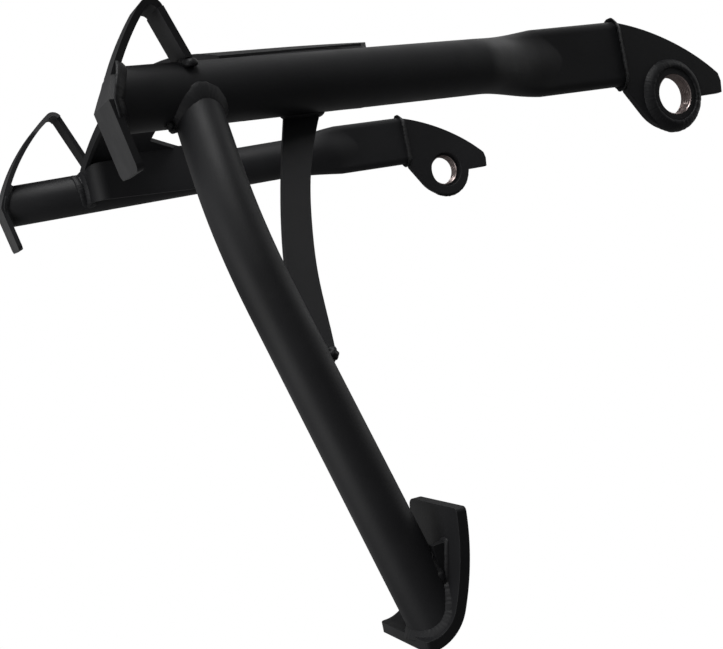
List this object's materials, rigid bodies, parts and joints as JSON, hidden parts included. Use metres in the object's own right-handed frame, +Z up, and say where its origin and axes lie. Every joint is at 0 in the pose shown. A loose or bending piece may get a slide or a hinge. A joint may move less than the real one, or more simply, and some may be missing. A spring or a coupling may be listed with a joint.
{
  "type": "motorcycle centre stand",
  "caption": "Welded tubular centre stand for a motorcycle, with threaded pivot eyes, folded strip feet, a sheet cross member and a braced tread lever.",
  "frame": {"origin": "middle of the pivot axis, halfway between the two threaded bushes", "axes": "+Y along the pivot axis to the left side, where the tread lever is; +X forward; +Z up, with the soles level"},
  "size_m": [0.3308, 0.5104, 0.4116],
  "materials": {
    "frame_paint": "satin black powder coat",
    "bush": "satin black outside, bare steel thread inside"
  },
  "bodies": {
    "root": {"left_leg": "frame_paint", "right_leg": "frame_paint", "left_pivot_plate": "frame_paint", "right_pivot_plate": "frame_paint", "left_bush": "bush", "right_bush": "bush", "left_foot": "frame_paint", "right_foot": "frame_paint", "cross_member": "frame_paint", "lever_tube": "frame_paint", "brace_plate": "frame_paint", "pedal": "frame_paint", "pedal_rib": "frame_paint"}
  },
  "joints": []
}
